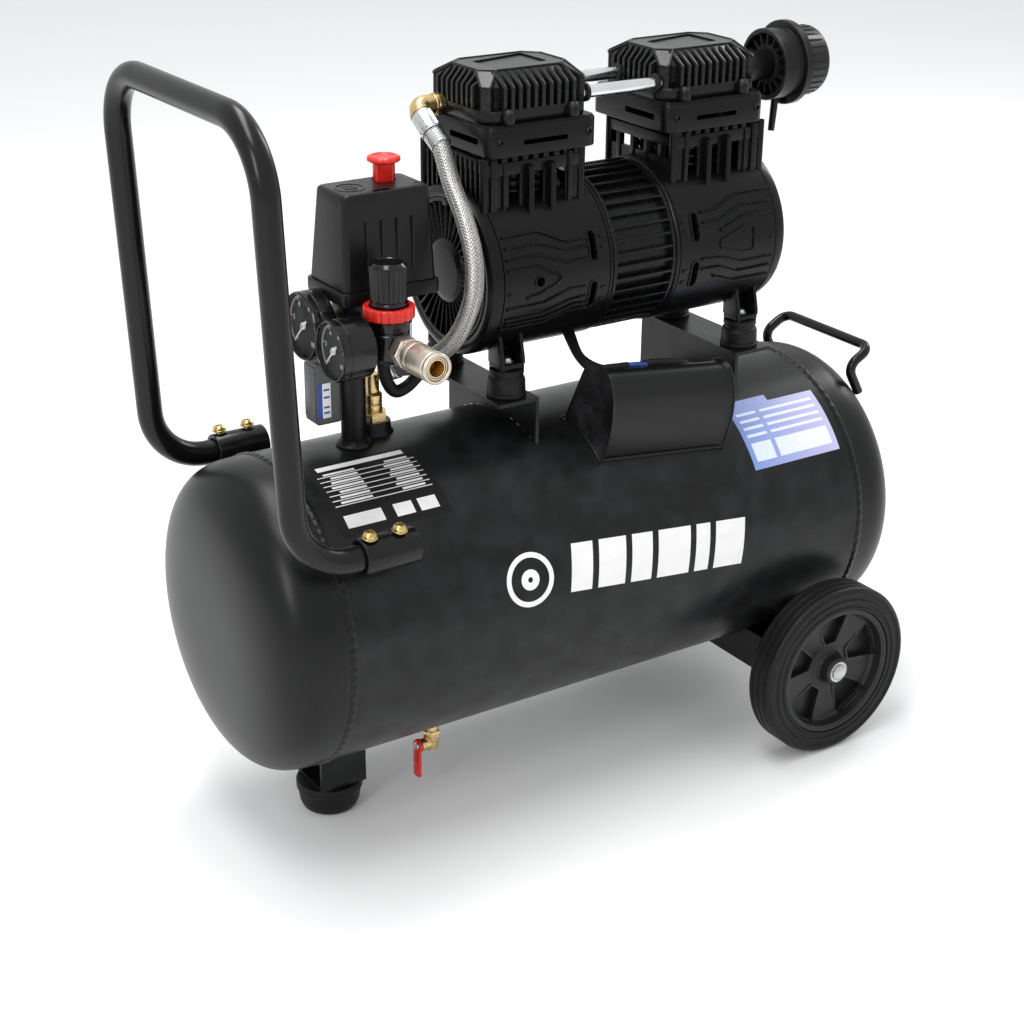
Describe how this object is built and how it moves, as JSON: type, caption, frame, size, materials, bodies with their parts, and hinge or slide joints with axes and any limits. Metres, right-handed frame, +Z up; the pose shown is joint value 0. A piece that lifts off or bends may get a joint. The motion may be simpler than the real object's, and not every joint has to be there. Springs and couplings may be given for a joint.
{
  "type": "air compressor",
  "caption": "Portable oil-free air compressor: horizontal tank on wheels and a foot, twin pump motor on top, pressure switch, regulator, gauges, quick coupler and push handle.",
  "frame": {"origin": "on the floor under the middle of the whole object", "axes": "+X along the tank towards the wheels, +Z up, the outlet coupler faces -Y"},
  "size_m": [0.6304, 0.3304, 0.6111],
  "materials": {
    "powder_coat": "satin black powder coat on aluminium sheet",
    "cast_black": "black painted aluminium casting",
    "black_plastic": "moulded black plastic",
    "black_rubber": "black rubber",
    "wheel_plastic": "moulded black plastic",
    "red_plastic": "moulded red plastic",
    "brass": "turned brass",
    "nickel": "nickel-plated brass",
    "steel": "zinc-plated steel",
    "aluminium": "bare aluminium",
    "braid": "stainless steel braid over a rubber hose",
    "white_paint": "white paint"
  },
  "bodies": {
    "base": {"axle_bolt_far": "steel", "axle_bolt_near": "steel", "axle_bracket": "powder_coat", "braided_hose": "braid", "capacitor_cover": "powder_coat", "check_valve": "brass", "coupler_body": "nickel", "crankcase_left": "cast_black", "crankcase_right": "cast_black", "discharge_elbow": "brass", "drain_valve": "brass", "end_grille_left": "cast_black", "end_grille_right": "cast_black", "foot_bracket": "powder_coat", "gauge_outlet": "black_plastic", "gauge_tank": "black_plastic", "handle_sleeve_far": "powder_coat", "handle_sleeve_near": "powder_coat", "head_cover_left": "cast_black", "head_cover_right": "cast_black", "head_tube_far": "aluminium", "head_tube_near": "aluminium", "intake_filter": "black_plastic", "motor_lead": "black_rubber", "motor_saddle_left": "powder_coat", "motor_saddle_right": "powder_coat", "push_handle": "powder_coat", "rear_bail": "powder_coat", "regulator_body": "black_plastic", "rubber_foot": "black_rubber", "rubber_mount_left_far": "black_rubber", "rubber_mount_left_near": "black_rubber", "rubber_mount_right_far": "black_rubber", "rubber_mount_right_near": "black_rubber", "safety_valve": "brass", "standpipe": "powder_coat", "stator": "cast_black", "switch_base": "black_plastic", "switch_cover": "black_plastic", "tank_head_left": "powder_coat", "tank_head_right": "powder_coat", "tank_shell": "powder_coat", "valve_plate_left": "cast_black", "valve_plate_right": "cast_black"},
    "wheel_near": {"wheel_rim_near": "wheel_plastic", "wheel_tyre_near": "black_rubber"},
    "wheel_far": {"wheel_rim_far": "wheel_plastic", "wheel_tyre_far": "black_rubber"},
    "rotor": {"rotor": "steel", "cooling_fan_left": "black_plastic", "cooling_fan_right": "black_plastic"},
    "piston_left": {"piston_left": "aluminium"},
    "piston_right": {"piston_right": "aluminium"},
    "switch_knob": {"switch_knob": "red_plastic"},
    "regulator_knob": {"regulator_knob": "black_plastic"},
    "tank_pointer": {"gauge_tank_pointer": "white_paint"},
    "outlet_pointer": {"gauge_outlet_pointer": "white_paint"},
    "coupler_sleeve": {"coupler_sleeve": "nickel"},
    "drain_lever": {"drain_lever": "red_plastic"},
    "safety_ring": {"safety_ring": "steel"}
  },
  "joints": [
    {"name": "wheel_near_spin", "type": "hinge", "parent": "base", "child": "wheel_near", "pos_m": [0.2045, -0.14525, 0.077], "axis": [0, 1, 0], "continuous": true},
    {"name": "wheel_far_spin", "type": "hinge", "parent": "base", "child": "wheel_far", "pos_m": [0.2045, 0.14525, 0.077], "axis": [0, 1, 0], "continuous": true},
    {"name": "rotor_spin", "type": "hinge", "parent": "base", "child": "rotor", "pos_m": [0.0605, 0.0125, 0.4375], "axis": [1, 0, 0], "continuous": true},
    {"name": "piston_left_slide", "type": "slide", "parent": "base", "child": "piston_left", "axis": [0, 0, 1], "range_m": [-0.0075, 0.0075]},
    {"name": "piston_right_slide", "type": "slide", "parent": "base", "child": "piston_right", "axis": [0, 0, 1], "range_m": [-0.0075, 0.0075]},
    {"name": "switch_knob_slide", "type": "slide", "parent": "base", "child": "switch_knob", "axis": [0, 0, 1], "range_m": [-0.006, 0]},
    {"name": "regulator_knob_turn", "type": "hinge", "parent": "base", "child": "regulator_knob", "pos_m": [-0.1765, -0.058, 0.4443], "axis": [0, 0, 1], "range_deg": [-720, 720]},
    {"name": "tank_pointer_turn", "type": "hinge", "parent": "base", "child": "tank_pointer", "pos_m": [-0.217, 0, 0.4185], "axis": [1, 0, 0], "range_deg": [0, 270], "stiffness_Nm_per_rad": 0.001},
    {"name": "outlet_pointer_turn", "type": "hinge", "parent": "base", "child": "outlet_pointer", "pos_m": [-0.2231, -0.058, 0.4165], "axis": [1, 0, 0], "range_deg": [0, 270], "stiffness_Nm_per_rad": 0.001},
    {"name": "coupler_sleeve_slide", "type": "slide", "parent": "base", "child": "coupler_sleeve", "axis": [0, 1, 0], "range_m": [0, 0.004], "stiffness_N_per_m": 600, "springref_m": -0.002},
    {"name": "drain_lever_turn", "type": "hinge", "parent": "base", "child": "drain_lever", "pos_m": [-0.1383, -0.03, 0.0475], "axis": [1, 0, 0], "range_deg": [-90, 0]},
    {"name": "safety_ring_slide", "type": "slide", "parent": "base", "child": "safety_ring", "axis": [0, 1, 0], "range_m": [0, 0.003], "stiffness_N_per_m": 1200, "springref_m": -0.002}
  ]
}
